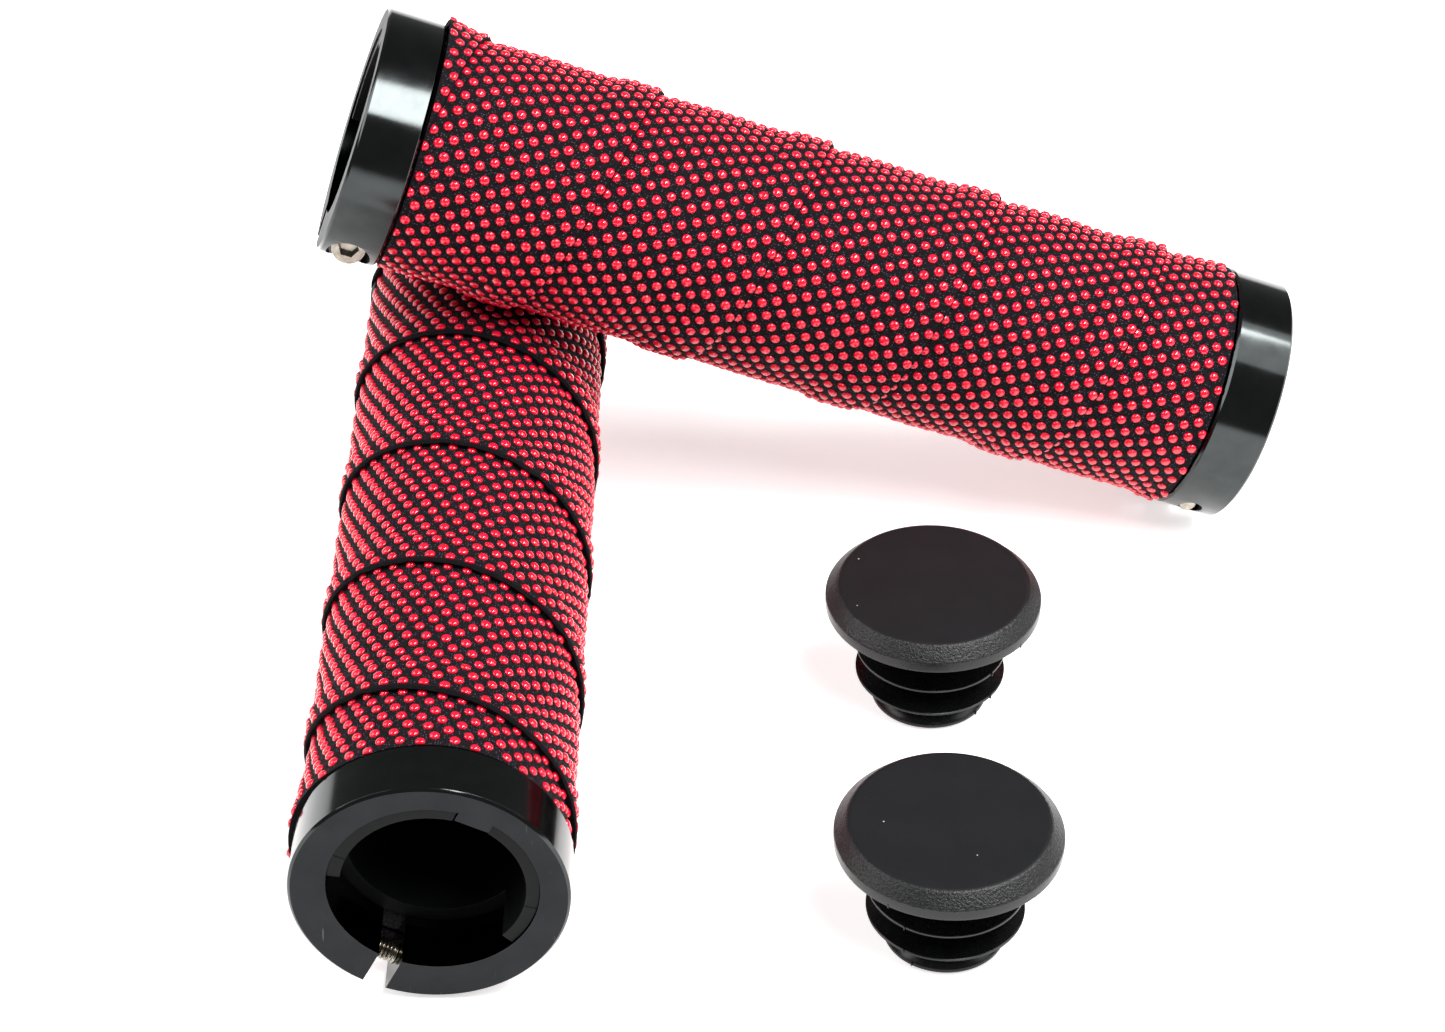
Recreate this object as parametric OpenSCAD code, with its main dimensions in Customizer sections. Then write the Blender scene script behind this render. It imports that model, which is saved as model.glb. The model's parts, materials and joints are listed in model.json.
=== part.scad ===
// A pair of lock-on handlebar grips and their two push-in end plugs, laid out on a flat surface.
// One grip lies along +Y, the other leans across it, and both plugs stand on their fins.

/* [Grip] */
// Length of one grip, over both lock rings
grip_len = 130; // [110:1:150]
// Inner diameter of the sleeve, which slides onto a 22.2 mm bar
bar_bore_d = 22.3; // [22.25:0.05:22.4]
// Outer diameter of the sleeve's full tube, between the rings
sleeve_d = 26; // [25.8:0.1:26.6]
// Outer diameter of the sleeve's fingers, inside the rings
finger_d = 25.6; // [25.2:0.05:25.65]
// Outer diameter of the foam pad
foam_d = 30.6; // [29:0.2:31.2]
// Outer diameter of the wound tape
tape_d = 33.3; // [32.4:0.1:34]
// Gap left between two soft layers
layer_gap = 0.05; // [0.02:0.01:0.1]
// Gap between a ring's inner face and what it meets
end_gap = 0.3; // [0.2:0.05:0.5]
// How far the fingers stop short of the ring's outer face
finger_recess = 0.3; // [0.1:0.05:0.6]
// How far the outer circles of rings, pad and tape sit off the bore, towards the slit
outer_shift = 1.1; // [0.8:0.05:1.4]
// Angle left open between the fingers, on the slit's side
finger_gap_angle = 144; // [120:2:160]

/* [Lock ring] */
// Outer diameter of a lock ring
ring_d = 34; // [33:0.5:36]
// Width of a lock ring, along the grip
ring_w = 8; // [7:0.5:10]
// Bore of a lock ring
ring_bore_d = 25.7; // [25.66:0.01:25.8]
// Width of the slit
slit_w = 3; // [2:0.2:4]
// Width of the key tab that sits between two fingers
tab_w = 4.4; // [3.6:0.1:5]
// How far the key tab stands in from the ring's bore
tab_h = 1.5; // [1:0.1:1.6]
// Gap between the key tab and each finger beside it
tab_gap = 0.1; // [0.05:0.05:0.3]
// Chamfer on the ring's outer edges
ring_chamfer = 0.35; // [0.2:0.05:0.6]
// Diameter of the counterbore for the screw's head
counterbore_d = 6; // [5.4:0.1:6]

/* [Clamp screw] */
// Distance of the screw's axis from the bore's axis
screw_offset = 15.3; // [15.2:0.05:15.6]
// Outer diameter of the thread
thread_d = 2.9; // [2.7:0.05:2.95]
// Thread pitch
thread_pitch = 0.5; // [0.4:0.05:0.6]
// Depth of the thread's grooves
thread_depth = 0.25; // [0.15:0.05:0.3]
// Diameter of the hole the thread runs in
thread_hole_d = 3; // [3:0.05:3.1]
// Distance of the head's seat from the middle of the slit
head_seat = 4.6; // [4.6:0.1:5]
// Running gap between the head and its seat
seat_gap = 0.02; // [0.01:0.01:0.05]
// Diameter of the head
head_d = 4.8; // [4.4:0.1:5.2]
// Height of the head
head_h = 1.6; // [1.5:0.1:2]
// Width across the flats of the hexagon socket
hex_af = 2.5; // [2:0.1:2.5]
// Depth of the hexagon socket
hex_depth = 1.2; // [0.8:0.1:1.4]
// Length of the thread beyond the middle of the slit
thread_reach = 7.5; // [5:0.5:8.5]

/* [End plug] */
// Diameter of the cap
cap_d = 28.4; // [26:0.2:32]
// Diameter of the cap's flat top
cap_top_d = 25; // [22:0.2:26]
// Height of the plug, standing on its end fin
plug_h = 18.7; // [16:0.1:22]
// Height of the sloping edge
cap_slope_h = 1.75; // [1:0.05:2.5]
// Height of the straight edge below the slope
cap_edge_h = 1.6; // [1:0.1:2.5]
// Diameter of the two upper fins
fin_d = 19.8; // [18.6:0.1:20.4]
// Diameter of the end fin
end_fin_d = 15.4; // [14:0.2:17]
// Height of the lower fin's rim over the surface
low_fin_level = 4.6; // [3.6:0.1:5.4]
// Height of the upper fin's rim over the surface
high_fin_level = 8.5; // [7:0.1:11]
// Thickness of a fin at its rim
fin_rim = 0.55; // [0.4:0.05:0.8]
// Thickness of a fin where it meets the stem
fin_root = 1.3; // [1:0.1:2]
// Outer diameter of the stem
stem_d = 12.6; // [11:0.2:14]
// Diameter of the hollow inside the stem
stem_hollow_d = 9.4; // [8:0.2:10]
// Depth of the hollow inside the stem
stem_hollow_h = 14.6; // [12:0.2:15.6]

/* [Layout] */
// Turn of the lying grip about its own axis
lower_turn = 206; // [196:1:216]
// Slope of the leaning grip
upper_tilt = 18.7; // [15:0.1:22]
// Turn of the leaning grip about its own axis, slits towards the viewer
upper_turn = 14; // [0:1:25]
// Heading of the leaning grip, from its low end
upper_heading = 178.8; // [170:0.1:190]
// Distance of the leaning grip's low end behind the lying grip's front face
upper_y = 103.3; // [85:0.5:110]
// Gap left between the two tapes where the grips cross
rest_gap = 0.1; // [0.05:0.05:0.5]
// Clearance of what rests on the surface
floor_gap = 0.02; // [0.01:0.01:0.1]
// Far plug's distance from the lying grip's axis
far_plug_x = 61.65; // [40:0.5:80]
// Far plug's distance behind the lying grip's front face
far_plug_y = 59; // [50:0.5:62]
// Near plug's distance from the lying grip's axis
near_plug_x = 62.2; // [40:0.5:80]
// Near plug's distance behind the lying grip's front face
near_plug_y = 13.2; // [8:0.5:20]

/* [Hidden] */
$fn = 96;
black_plastic = [0.09, 0.09, 0.1];
black_foam = [0.06, 0.06, 0.065];
dotted_red = [0.62, 0.07, 0.15];
anodised_black = [0.1, 0.1, 0.11];
bright_steel = [0.78, 0.76, 0.72];
moulded_grey = [0.16, 0.16, 0.17];
inner_start = ring_w + end_gap;
inner_len = grip_len - 2 * inner_start;
head_end = head_seat + head_h;
// How far a grip's lowest point lies below its bore: the ring's own edge, or the screw's head
ring_drop = ring_d / 2 + outer_shift * -cos(lower_turn);
head_reach = screw_offset + head_d / 2;
head_drop = head_reach * -cos(lower_turn) + head_end * -sin(lower_turn);
lower_z = max(head_drop, ring_drop) + floor_gap;
// The same for the leaning grip, below the middle of its outer circle
upper_head_drop = (head_reach - outer_shift) * cos(upper_turn) + head_end * sin(upper_turn);
upper_z = max(upper_head_drop, ring_d / 2) * cos(upper_tilt) + floor_gap;
// Where the two tapes meet, one tape diameter apart
lower_outer_x = outer_shift * sin(lower_turn);
lower_outer_z = lower_z + outer_shift * cos(lower_turn);
upper_x = lower_outer_x + (tape_d + rest_gap - (upper_z - lower_outer_z) * cos(upper_tilt)) / sin(upper_tilt);
middle_x = upper_x - grip_len * cos(upper_tilt) / 2;
middle_y = (grip_len + min(0, near_plug_y - cap_d / 2)) / 2;
thread_turns = floor((thread_reach + head_seat - 1) / thread_pitch);

// A tube between two diameters, its outer circle and its hole each moved towards the slit
module tube(outer_d, inner_d, length, outer_move = 0, inner_move = 0) {
  difference() {
    translate([0, -outer_move, 0]) cylinder(d = outer_d, h = length);
    translate([0, -inner_move, -1]) cylinder(d = inner_d, h = length + 2);
  }
}

// The sleeve's fingers at one end: a short tube, open at the slit's side and notched for the key tab
module sleeve_fingers() {
  half = finger_gap_angle / 2;
  reach = 40;
  difference() {
    translate([0, 0, finger_recess]) tube(finger_d, bar_bore_d, inner_start - finger_recess + 0.5);
    translate([0, 0, -1]) linear_extrude(height = inner_start + 1)
      polygon([[0, 0], [-reach * sin(half), -reach * cos(half)], [-reach, -1.5 * reach],
               [reach, -1.5 * reach], [reach * sin(half), -reach * cos(half)]]);
    translate([-tab_w / 2 - tab_gap, 0, -1]) cube([tab_w + 2 * tab_gap, 30, inner_start + 1]);
  }
}

// The plastic sleeve that carries the pad and the tape
module sleeve() {
  union() {
    translate([0, 0, inner_start]) tube(sleeve_d, bar_bore_d, inner_len);
    sleeve_fingers();
    translate([0, 0, grip_len]) rotate([0, 180, 0]) sleeve_fingers();
  }
}

// The foam pad around the sleeve
module foam_pad() {
  translate([0, 0, inner_start + 0.5])
    tube(foam_d, sleeve_d + 2 * layer_gap, inner_len - 1, outer_move = outer_shift);
}

// The wound tape around the pad
module wrap_tape() {
  translate([0, 0, inner_start])
    tube(tape_d, foam_d + 2 * layer_gap, inner_len, outer_move = outer_shift, inner_move = outer_shift);
}

// A split lock ring, outer face at z = 0, slit towards -Y, screw head on the -X side
module lock_ring() {
  difference() {
    union() {
      difference() {
        translate([0, -outer_shift, 0]) chamfered_disc();
        translate([0, 0, -1]) cylinder(d = ring_bore_d, h = ring_w + 2);
      }
      difference() {
        translate([-tab_w / 2, ring_bore_d / 2 - tab_h, 0]) cube([tab_w, tab_h + 0.6, ring_w]);
        translate([0, 0, -1]) cylinder(r = ring_bore_d / 2 - tab_h, h = ring_w + 2);
      }
    }
    translate([-slit_w / 2, -ring_d, -1]) cube([slit_w, ring_d, ring_w + 2]);
    translate([0, -screw_offset, ring_w / 2]) rotate([0, 90, 0])
      cylinder(d = thread_hole_d, h = ring_d, center = true);
    translate([seat_gap - head_seat, -screw_offset, ring_w / 2]) rotate([0, -90, 0])
      cylinder(d = counterbore_d, h = ring_d);
  }
}

// The lock ring's outer shape, chamfered at both faces
module chamfered_disc() {
  rotate_extrude()
    polygon([[0, 0], [ring_d / 2 - ring_chamfer, 0], [ring_d / 2, ring_chamfer],
             [ring_d / 2, ring_w - ring_chamfer], [ring_d / 2 - ring_chamfer, ring_w], [0, ring_w]]);
}

// A clamp screw in a lock ring's place, head on the -X side
module clamp_screw() {
  translate([0, -screw_offset, ring_w / 2]) rotate([0, -90, 0])
    difference() {
      union() {
        threaded_shank();
        translate([0, 0, head_seat]) cylinder(d = head_d, h = head_h);
      }
      translate([0, 0, head_end - hex_depth]) cylinder(d = hex_af / cos(30), h = 2, $fn = 6);
    }
}

// The screw's shank, with the thread as ring-shaped grooves
module threaded_shank() {
  crest = thread_d / 2;
  root = crest - thread_depth;
  groove_points = [for (k = [0 : thread_turns - 1], p = [[0, crest], [0.5, root]])
    [p[1], -thread_reach + 0.4 + (k + p[0]) * thread_pitch]];
  rotate_extrude()
    polygon(concat([[0, -thread_reach], [root, -thread_reach]], groove_points,
                   [[crest, head_seat - 0.5], [crest, head_seat + 0.1], [0, head_seat + 0.1]]));
}

// One fin's ring around the stem, rim level given
module fin(diameter, level) {
  rotate_extrude()
    polygon([[stem_d / 2 - 0.5, level - fin_root / 2], [diameter / 2, level - fin_rim / 2],
             [diameter / 2, level + fin_rim / 2], [stem_d / 2 - 0.5, level + fin_root / 2]]);
}

// A push-in end plug, standing on its end fin
module end_plug() {
  edge_top = plug_h - cap_slope_h;
  edge_low = edge_top - cap_edge_h;
  difference() {
    union() {
      rotate_extrude()
        polygon([[0, 0], [end_fin_d / 2 - 0.4, 0], [end_fin_d / 2, 0.4], [end_fin_d / 2, 0.4 + fin_rim],
                 [stem_d / 2, fin_root + 0.3], [stem_d / 2, edge_low], [cap_d / 2 - 0.3, edge_low],
                 [cap_d / 2, edge_low + 0.3], [cap_d / 2, edge_top], [cap_top_d / 2, plug_h], [0, plug_h]]);
      for (level = [low_fin_level, high_fin_level]) fin(fin_d, level);
    }
    translate([0, 0, -1]) cylinder(d = stem_hollow_d, h = stem_hollow_h + 1);
  }
}

// The lying grip's place: bore along +Y
module lower_place() {
  translate([-middle_x, -middle_y, lower_z]) rotate([-90, 0, 0]) rotate([0, 0, lower_turn]) children();
}

// The leaning grip's place: bore rising from the low end, both slits downwards
module upper_place() {
  translate([upper_x - middle_x, upper_y - middle_y, upper_z])
    rotate([0, 90 - upper_tilt, upper_heading]) rotate([0, 0, 90 + upper_turn])
      translate([0, outer_shift, 0]) children();
}

// The other end of a grip
module far_end() {
  translate([0, 0, grip_len]) rotate([0, 180, 0]) children();
}

// A standing plug's place
module plug_place(across, behind) {
  translate([across - middle_x, behind - middle_y, 0]) children();
}

module lower_sleeve() { color(black_plastic) lower_place() sleeve(); }
module lower_foam_pad() { color(black_foam) lower_place() foam_pad(); }
module lower_wrap_tape() { color(dotted_red) lower_place() wrap_tape(); }
module lower_front_lock_ring() { color(anodised_black) lower_place() lock_ring(); }
module lower_front_clamp_screw() { color(bright_steel) lower_place() clamp_screw(); }
module lower_rear_lock_ring() { color(anodised_black) lower_place() far_end() lock_ring(); }
module lower_rear_clamp_screw() { color(bright_steel) lower_place() far_end() clamp_screw(); }
module upper_sleeve() { color(black_plastic) upper_place() sleeve(); }
module upper_foam_pad() { color(black_foam) upper_place() foam_pad(); }
module upper_wrap_tape() { color(dotted_red) upper_place() wrap_tape(); }
module upper_right_lock_ring() { color(anodised_black) upper_place() lock_ring(); }
module upper_right_clamp_screw() { color(bright_steel) upper_place() clamp_screw(); }
module upper_left_lock_ring() { color(anodised_black) upper_place() far_end() lock_ring(); }
module upper_left_clamp_screw() { color(bright_steel) upper_place() far_end() clamp_screw(); }
module far_end_plug() { color(moulded_grey) plug_place(far_plug_x, far_plug_y) end_plug(); }
module near_end_plug() { color(moulded_grey) plug_place(near_plug_x, near_plug_y) end_plug(); }

lower_sleeve();
lower_foam_pad();
lower_wrap_tape();
lower_front_lock_ring();
lower_front_clamp_screw();
lower_rear_lock_ring();
lower_rear_clamp_screw();
upper_sleeve();
upper_foam_pad();
upper_wrap_tape();
upper_right_lock_ring();
upper_right_clamp_screw();
upper_left_lock_ring();
upper_left_clamp_screw();
far_end_plug();
near_end_plug();
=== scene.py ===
"""Two lock-on handlebar grips and their two end plugs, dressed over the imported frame."""

import json
import logging
import math
import random
from dataclasses import dataclass, field
from enum import Enum
from functools import cache

import bmesh
import bpy
import numpy as np
from mathutils import Matrix, Vector, noise


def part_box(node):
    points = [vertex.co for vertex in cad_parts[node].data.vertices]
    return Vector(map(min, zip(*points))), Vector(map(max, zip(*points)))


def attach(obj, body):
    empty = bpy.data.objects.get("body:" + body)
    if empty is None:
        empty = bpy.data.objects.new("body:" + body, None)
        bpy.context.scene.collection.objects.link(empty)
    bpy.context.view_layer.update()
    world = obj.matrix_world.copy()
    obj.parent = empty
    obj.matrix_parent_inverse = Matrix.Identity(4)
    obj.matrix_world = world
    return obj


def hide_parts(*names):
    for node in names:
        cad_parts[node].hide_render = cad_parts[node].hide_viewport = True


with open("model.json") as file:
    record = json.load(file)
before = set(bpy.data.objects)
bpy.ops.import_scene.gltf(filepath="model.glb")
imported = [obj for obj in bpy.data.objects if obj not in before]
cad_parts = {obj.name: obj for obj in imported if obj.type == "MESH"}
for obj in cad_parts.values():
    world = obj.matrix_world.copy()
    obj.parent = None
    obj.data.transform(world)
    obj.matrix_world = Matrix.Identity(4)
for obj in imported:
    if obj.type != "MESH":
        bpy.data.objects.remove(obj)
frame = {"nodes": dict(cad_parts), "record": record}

LOG = logging.getLogger("grips")
MM = 0.001
SEED = 31
GRIP_LENGTH_MM = 130.0
# How far the tape's middle line lies off the bore's, towards the slit
TAPE_SHIFT_MM = 1.1
Piece = bpy.types.Object
Tree = bpy.types.NodeTree
Link = bpy.types.NodeSocket


# ---------------------------------------------------------------- materials

def linear(code: str) -> tuple[float, float, float, float]:
    """Turns an sRGB hex colour into the linear colour that shaders take.

    Args:
        code: A colour such as "#1c1d20".

    Returns:
        Red, green, blue and a full alpha, all linear.
    """
    parts = [int(code[i:i + 2], 16) / 255 for i in (1, 3, 5)]
    red, green, blue = [v / 12.92 if v <= 0.04045 else ((v + 0.055) / 1.055) ** 2.4 for v in parts]
    return red, green, blue, 1.0


def add_node(tree: Tree, kind: str, settings: dict | None = None,
             links: dict | None = None) -> bpy.types.Node:
    """Adds one shader node, sets its sockets or properties, and links sockets into it.

    Args:
        tree: The material's node tree.
        kind: The node's Blender type name.
        settings: Input names or indices, or property names, and their values.
        links: Input names or indices, and the output sockets that feed them.

    Returns:
        The new node.
    """
    made = tree.nodes.new(kind)
    for key, value in (settings or {}).items():
        if isinstance(key, int) or key in made.inputs:
            made.inputs[key].default_value = value
        else:
            setattr(made, key, value)
    for key, socket in (links or {}).items():
        tree.links.new(socket, made.inputs[key])
    return made


def ramp(tree: Tree, value: Link, stops: list[tuple[float, str]]) -> Link:
    """Adds a colour ramp over a value.

    Args:
        tree: The material's node tree.
        value: The socket that runs from 0 to 1.
        stops: Positions with their hex colours, lowest first.

    Returns:
        The ramp's colour socket.
    """
    made = add_node(tree, "ShaderNodeValToRGB", links={"Fac": value})
    elements = made.color_ramp.elements
    while len(elements) < len(stops):
        elements.new(0.5)
    for element, (place, code) in zip(elements, stops):
        element.position = place
        element.color = linear(code)
    return made.outputs["Color"]


def two_tones(tree: Tree, value: Link, colours: tuple[str, str]) -> Link:
    """Adds a soft blend of two hex colours over a noise, and returns the ramp's colour socket."""
    return ramp(tree, value, [(0.3, colours[0]), (0.7, colours[1])])


def grade(tree: Tree, value: Link, low: float, high: float) -> Link:
    """Maps a value from 0..1 to low..high, and returns the new socket."""
    made = add_node(tree, "ShaderNodeMapRange", {"To Min": low, "To Max": high}, {"Value": value})
    return made.outputs["Result"]


def noise_on(tree: Tree, place: Link, per_mm: float, detail: float = 4.0, rough: float = 0.55) -> Link:
    """Adds a noise whose main features number per_mm in each millimetre, on metre coordinates."""
    made = add_node(tree, "ShaderNodeTexNoise", {"Scale": per_mm / MM, "Detail": detail, "Roughness": rough},
                    {"Vector": place})
    return made.outputs["Fac"]


class Material:
    """One material under construction: its tree, its Principled shader and its coordinates."""

    def __init__(self, name: str, sockets: dict) -> None:
        """Starts a material and sets the shader's own sockets.

        Args:
            name: The material's name, after the real finish.
            sockets: Principled socket names with their uniform values.
        """
        self.data = bpy.data.materials.new(name)
        self.data.use_nodes = True
        self.tree = self.data.node_tree
        self.tree.nodes.clear()
        self.shader = add_node(self.tree, "ShaderNodeBsdfPrincipled", sockets)
        add_node(self.tree, "ShaderNodeOutputMaterial", links={"Surface": self.shader.outputs["BSDF"]})
        self.coordinates = add_node(self.tree, "ShaderNodeTexCoord")

    @property
    def place(self) -> Link:
        """The piece's own object coordinates, in metres."""
        return self.coordinates.outputs["Object"]

    @property
    def chart(self) -> Link:
        """The piece's UV map, in millimetres along and across a tape."""
        return self.coordinates.outputs["UV"]

    def feed(self, socket: str, source: Link) -> None:
        """Links a pattern into one of the shader's sockets."""
        self.tree.links.new(source, self.shader.inputs[socket])

    def raise_by(self, height: Link, depth_mm: float, under: Link | None = None) -> Link:
        """Adds a bump of a real depth.

        Args:
            height: The pattern, from 0 to 1.
            depth_mm: The pattern's height in millimetres.
            under: A bump that this one lies on.

        Returns:
            The bump's normal socket, already linked to the shader.
        """
        links = {"Height": height}
        if under is not None:
            links["Normal"] = under
        bump = add_node(self.tree, "ShaderNodeBump", {"Distance": depth_mm * MM, "Strength": 1.0}, links)
        self.feed("Normal", bump.outputs["Normal"])
        return bump.outputs["Normal"]


@dataclass(frozen=True)
class AnodisedSkin:
    """Turned and dyed aluminium: near-black, with sharp reflections that shimmer a little."""

    name: str = "black_anodised_turned_aluminium"
    colours: tuple[str, str] = ("#3a3d3d", "#414444")
    roughness: tuple[float, float] = (0.08, 0.15)
    blotch_per_mm: float = 0.35
    speck_per_mm: float = 2.5
    speck_depth_mm: float = 0.0012

    def make(self) -> bpy.types.Material:
        """Builds the finish and returns its material."""
        made = Material(self.name, {"Metallic": 1.0})
        blotch = noise_on(made.tree, made.place, self.blotch_per_mm)
        made.feed("Roughness", grade(made.tree, blotch, *self.roughness))
        made.feed("Base Color", two_tones(made.tree, blotch, self.colours))
        made.raise_by(noise_on(made.tree, made.place, self.speck_per_mm, 2.0), self.speck_depth_mm)
        return made.data


@dataclass(frozen=True)
class AnodisedFace:
    """The blasted and dyed end face: an even, dark satin grey with handling scratches."""

    name: str = "black_anodised_satin_aluminium"
    colours: tuple[str, str] = ("#222426", "#292b2d")
    scratch_colour: str = "#505152"
    roughness: tuple[float, float] = (0.42, 0.55)
    blotch_per_mm: float = 0.2
    scratch_per_mm: float = 0.6
    grit_per_mm: float = 9.0
    grit_depth_mm: float = 0.006

    def make(self) -> bpy.types.Material:
        """Builds the finish and returns its material."""
        made = Material(self.name, {"Metallic": 1.0})
        tree = made.tree
        blotch = noise_on(tree, made.place, self.blotch_per_mm)
        # Fine scratches: noise pulled out along one direction and cut to its brightest threads
        stretched = add_node(tree, "ShaderNodeMapping",
                             {"Rotation": (0.3, 0.9, 0.5), "Scale": (6.0, 0.35, 0.35)},
                             {"Vector": made.place})
        threads = noise_on(tree, stretched.outputs["Vector"], self.scratch_per_mm, 2.0)
        scratch = add_node(tree, "ShaderNodeMapRange", {"From Min": 0.72, "From Max": 0.78},
                           {"Value": threads})
        base = two_tones(tree, blotch, self.colours)
        pale = add_node(tree, "ShaderNodeMix", {"data_type": "RGBA", 7: linear(self.scratch_colour)},
                        {0: scratch.outputs["Result"], 6: base})
        made.feed("Base Color", pale.outputs[2])
        made.feed("Roughness", grade(tree, blotch, *self.roughness))
        made.raise_by(noise_on(tree, made.place, self.grit_per_mm, 3.0), self.grit_depth_mm)
        return made.data


@dataclass(frozen=True)
class PlatedSteel:
    """Nickel-plated steel: warm white metal, bright with small dull patches from handling."""

    name: str = "nickel_plated_steel"
    colours: tuple[str, str] = ("#8f897d", "#b5afa3")
    roughness: tuple[float, float] = (0.14, 0.28)
    patch_per_mm: float = 1.2
    pit_per_mm: float = 5.0
    pit_depth_mm: float = 0.004

    def make(self) -> bpy.types.Material:
        """Builds the finish and returns its material."""
        made = Material(self.name, {"Metallic": 1.0})
        patch = noise_on(made.tree, made.place, self.patch_per_mm)
        made.feed("Base Color", ramp(made.tree, patch, [(0.35, self.colours[0]), (0.65, self.colours[1])]))
        made.feed("Roughness", grade(made.tree, patch, *self.roughness))
        made.raise_by(noise_on(made.tree, made.place, self.pit_per_mm, 3.0), self.pit_depth_mm)
        return made.data


class Grain(Enum):
    """How a moulded surface was given its texture: depth in mm, features per mm, roughness range."""

    FINE = (0.006, 7.0, (0.38, 0.5))
    SPARKED = (0.13, 3.2, (0.26, 0.4))
    POLISHED = (0.003, 1.5, (0.2, 0.34))


@dataclass(frozen=True)
class MouldedPlastic:
    """Moulded polypropylene or nylon: dark, soft highlights, broken up by the mould's texture."""

    name: str
    colours: tuple[str, str]
    grain: Grain
    gloss: float = 0.5
    dust: float = 0.0
    dust_colour: str = "#b9bab8"
    dust_per_mm: float = 0.35
    blotch_per_mm: float = 0.15

    def make(self) -> bpy.types.Material:
        """Builds the finish and returns its material."""
        depth, per_mm, rough = self.grain.value
        made = Material(self.name, {"IOR": 1.49, "Specular IOR Level": self.gloss})
        tree = made.tree
        base = two_tones(tree, noise_on(tree, made.place, self.blotch_per_mm), self.colours)
        if self.dust:
            # A few pale specks, each about a quarter of a millimetre across
            cells = add_node(tree, "ShaderNodeTexVoronoi", {"Scale": self.dust_per_mm / MM},
                             {"Vector": made.place})
            speck = add_node(tree, "ShaderNodeMapRange",
                             {"From Min": 0.045, "From Max": 0.03, "To Max": self.dust},
                             {"Value": cells.outputs["Distance"]})
            mixed = add_node(tree, "ShaderNodeMix", {"data_type": "RGBA", 7: linear(self.dust_colour)},
                             {0: speck.outputs["Result"], 6: base})
            base = mixed.outputs[2]
        made.feed("Base Color", base)
        made.feed("Roughness", grade(tree, noise_on(tree, made.place, per_mm * 0.4), *rough))
        made.raise_by(noise_on(tree, made.place, per_mm, 3.0, 0.6), depth)
        return made.data


@dataclass(frozen=True)
class KnitTape:
    """Black polyester knit on the tape: matte, with rows of tiny stitches and stray pale fibres."""

    name: str = "black_polyester_knit"
    colours: tuple[str, str, str] = ("#5a535d", "#171318", "#050406")
    sheen_colour: str = "#8d8292"
    stitch_mm: float = 0.36
    stitch_depth_mm: float = 0.09
    fluff_depth_mm: float = 0.03

    def make(self) -> bpy.types.Material:
        """Builds the finish and returns its material."""
        made = Material(self.name, {"Roughness": 0.9, "IOR": 1.5, "Specular IOR Level": 0.15,
                                    "Sheen Weight": 0.04, "Sheen Roughness": 0.4,
                                    "Sheen Tint": linear(self.sheen_colour)})
        tree = made.tree
        # One knit column and row each stitch_mm, a little coarser than the real gauge so that it shows
        sized = add_node(tree, "ShaderNodeMapping", {"Scale": (1 / self.stitch_mm,) * 3},
                         {"Vector": made.chart})
        stitch = add_node(tree, "ShaderNodeTexVoronoi", {"Scale": 1.0, "Randomness": 0.55},
                          {"Vector": sized.outputs["Vector"]})
        fluff = add_node(tree, "ShaderNodeTexNoise", {"Scale": 2.2, "Detail": 5.0, "Roughness": 0.7},
                         {"Vector": sized.outputs["Vector"]})
        worn = add_node(tree, "ShaderNodeMath", {"operation": "MULTIPLY"},
                        {0: stitch.outputs["Distance"], 1: fluff.outputs["Fac"]})
        tones = list(zip((0.03, 0.13, 0.4), self.colours))
        made.feed("Base Color", ramp(tree, worn.outputs[0], tones))
        low = made.raise_by(grade(tree, stitch.outputs["Distance"], 1.0, 0.0), self.stitch_depth_mm)
        made.raise_by(fluff.outputs["Fac"], self.fluff_depth_mm, low)
        return made.data


@dataclass(frozen=True)
class CutEdgeAndSeamShade:
    """The tape's raw cut side: felted black fibre, darker and rougher than its face. Also laid on the
    strip's top over the selvage, as painted shade along the seam.
    """

    name: str = "raw_cut_edge_and_painted_seam_shade"
    colours: tuple[str, str, str] = ("#040305", "#0c0a0e", "#2b272d")
    fibre_per_mm: float = 4.5
    fibre_depth_mm: float = 0.12

    def make(self) -> bpy.types.Material:
        """Builds the finish and returns its material."""
        made = Material(self.name, {"Roughness": 0.95, "Specular IOR Level": 0.15})
        fibre = noise_on(made.tree, made.place, self.fibre_per_mm, 5.0, 0.7)
        made.feed("Base Color", ramp(made.tree, fibre, list(zip((0.35, 0.6, 0.78), self.colours))))
        made.raise_by(fibre, self.fibre_depth_mm)
        return made.data


@dataclass(frozen=True)
class RaisedDot:
    """Screen-printed vinyl: deep crimson under a wet-looking gloss, each dot a shade apart."""

    name: str = "crimson_printed_vinyl"
    colours: tuple[str, str] = ("#d30a29", "#e41237")
    roughness: tuple[float, float] = (0.06, 0.11)
    tone_per_mm: float = 0.8
    ripple_per_mm: float = 2.0
    ripple_depth_mm: float = 0.006

    def make(self) -> bpy.types.Material:
        """Builds the finish and returns its material."""
        made = Material(self.name, {"IOR": 1.53, "Coat Weight": 0.4, "Coat Roughness": 0.03})
        tone = noise_on(made.tree, made.place, self.tone_per_mm, 2.0)
        made.feed("Base Color", two_tones(made.tree, tone, self.colours))
        made.feed("Roughness", grade(made.tree, tone, *self.roughness))
        made.raise_by(noise_on(made.tree, made.place, self.ripple_per_mm, 2.0), self.ripple_depth_mm)
        return made.data


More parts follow.
